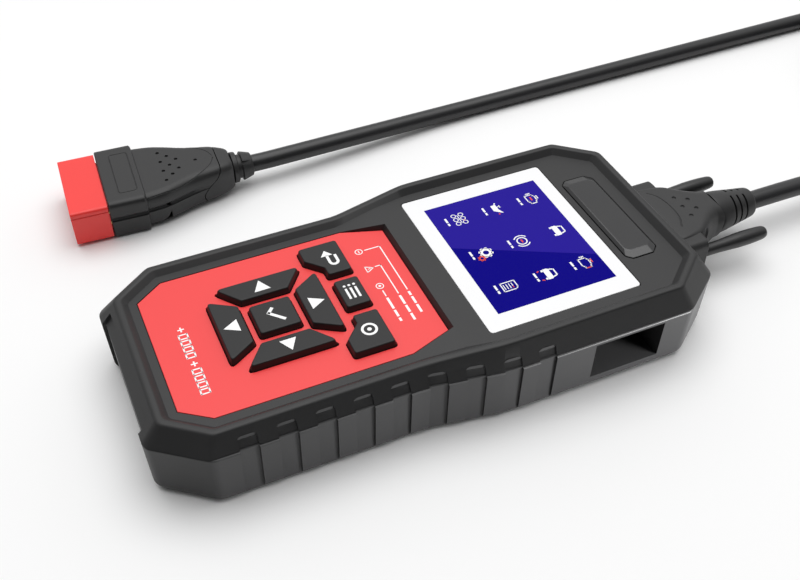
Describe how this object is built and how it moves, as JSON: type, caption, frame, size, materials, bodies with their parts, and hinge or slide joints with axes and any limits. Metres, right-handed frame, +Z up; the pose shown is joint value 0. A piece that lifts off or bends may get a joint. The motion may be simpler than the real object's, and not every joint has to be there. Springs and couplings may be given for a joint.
{
  "type": "obd code reader",
  "caption": "Handheld vehicle fault-code reader with a colour display and red keypad panel, and a cable with a screwed D plug and a red 16-way diagnostic plug.",
  "frame": {"origin": "middle of the housing's underside, cable and plugs not counted", "axes": "+Z up out of the display, +Y along the housing towards the cable end, +X to the user's right"},
  "size_m": [0.1773, 0.4431, 0.0309],
  "materials": {
    "housing_black": "fine satin texture, dark charcoal",
    "panel_red": "printed satin overlay",
    "key_black": "satin moulded keys",
    "window_gloss": "gloss printed display window",
    "badge_gloss": "high gloss",
    "display_glass": "dark blue lit panel",
    "board_green": "solder mask",
    "silicone_grey": "soft moulded sheet",
    "ribbon_amber": "flexible film",
    "led_green": "clear tinted lens",
    "led_yellow": "clear tinted lens",
    "led_red": "clear tinted lens",
    "steel": "zinc plated",
    "tin": "tinned shell",
    "brass": "plated contact",
    "plug_red": "satin-gloss moulded",
    "hood_black": "satin overmould",
    "screw_black": "smooth moulded handle",
    "cable_black": "smooth semi-gloss sheath"
  },
  "bodies": {
    "root": {"upper_shell": "housing_black", "lower_shell": "housing_black", "keypad_overlay": "panel_red", "display_window": "window_gloss", "badge_plate": "badge_gloss", "lcd_module": "display_glass", "lcd_ribbon": "ribbon_amber", "main_board": "board_green", "key_contact_sheet": "silicone_grey", "buzzer": "key_black", "status_led_green": "led_green", "status_led_yellow": "led_yellow", "status_led_red": "led_red", "usb_socket": "tin", "db15_socket": "tin", "housing_screw_1": "steel", "housing_screw_2": "steel", "housing_screw_3": "steel", "housing_screw_4": "steel", "db15_plug_shell": "steel", "db15_hood": "hood_black", "db15_strain_relief": "hood_black", "obd_plug_block": "plug_red", "obd_contacts_upper": "brass", "obd_contacts_lower": "brass", "obd_hood_top": "hood_black", "obd_hood_bottom": "hood_black", "obd_rear_cap": "hood_black", "obd_strain_relief": "hood_black", "cable_device_side": "cable_black", "cable_plug_side": "cable_black", "cable_coil": "cable_black", "cable_tie": "hood_black"},
    "key_ok": {"key_ok": "key_black"},
    "key_up": {"key_up": "key_black"},
    "key_down": {"key_down": "key_black"},
    "key_left": {"key_left": "key_black"},
    "key_right": {"key_right": "key_black"},
    "key_back": {"key_back": "key_black"},
    "key_readiness": {"key_readiness": "key_black"},
    "key_help": {"key_help": "key_black"},
    "thumbscrew_near": {"thumbscrew_near": "screw_black"},
    "thumbscrew_far": {"thumbscrew_far": "screw_black"}
  },
  "joints": [
    {"name": "press_key_ok", "type": "slide", "parent": "root", "child": "key_ok", "axis": [0, 0, -1], "range_m": [0, 0.0008], "stiffness_N_per_m": 400, "springref_m": -0.0006},
    {"name": "press_key_up", "type": "slide", "parent": "root", "child": "key_up", "axis": [0, 0, -1], "range_m": [0, 0.0008], "stiffness_N_per_m": 400, "springref_m": -0.0006},
    {"name": "press_key_down", "type": "slide", "parent": "root", "child": "key_down", "axis": [0, 0, -1], "range_m": [0, 0.0008], "stiffness_N_per_m": 400, "springref_m": -0.0006},
    {"name": "press_key_left", "type": "slide", "parent": "root", "child": "key_left", "axis": [0, 0, -1], "range_m": [0, 0.0008], "stiffness_N_per_m": 400, "springref_m": -0.0006},
    {"name": "press_key_right", "type": "slide", "parent": "root", "child": "key_right", "axis": [0, 0, -1], "range_m": [0, 0.0008], "stiffness_N_per_m": 400, "springref_m": -0.0006},
    {"name": "press_key_back", "type": "slide", "parent": "root", "child": "key_back", "axis": [0, 0, -1], "range_m": [0, 0.0008], "stiffness_N_per_m": 400, "springref_m": -0.0006},
    {"name": "press_key_readiness", "type": "slide", "parent": "root", "child": "key_readiness", "axis": [0, 0, -1], "range_m": [0, 0.0008], "stiffness_N_per_m": 400, "springref_m": -0.0006},
    {"name": "press_key_help", "type": "slide", "parent": "root", "child": "key_help", "axis": [0, 0, -1], "range_m": [0, 0.0008], "stiffness_N_per_m": 400, "springref_m": -0.0006},
    {"name": "turn_thumbscrew_near", "type": "hinge", "parent": "root", "child": "thumbscrew_near", "pos_m": [0.01665, 0.0958, 0.0132], "axis": [0, 1, 0], "continuous": true},
    {"name": "turn_thumbscrew_far", "type": "hinge", "parent": "root", "child": "thumbscrew_far", "pos_m": [-0.01665, 0.0958, 0.0132], "axis": [0, 1, 0], "continuous": true}
  ]
}
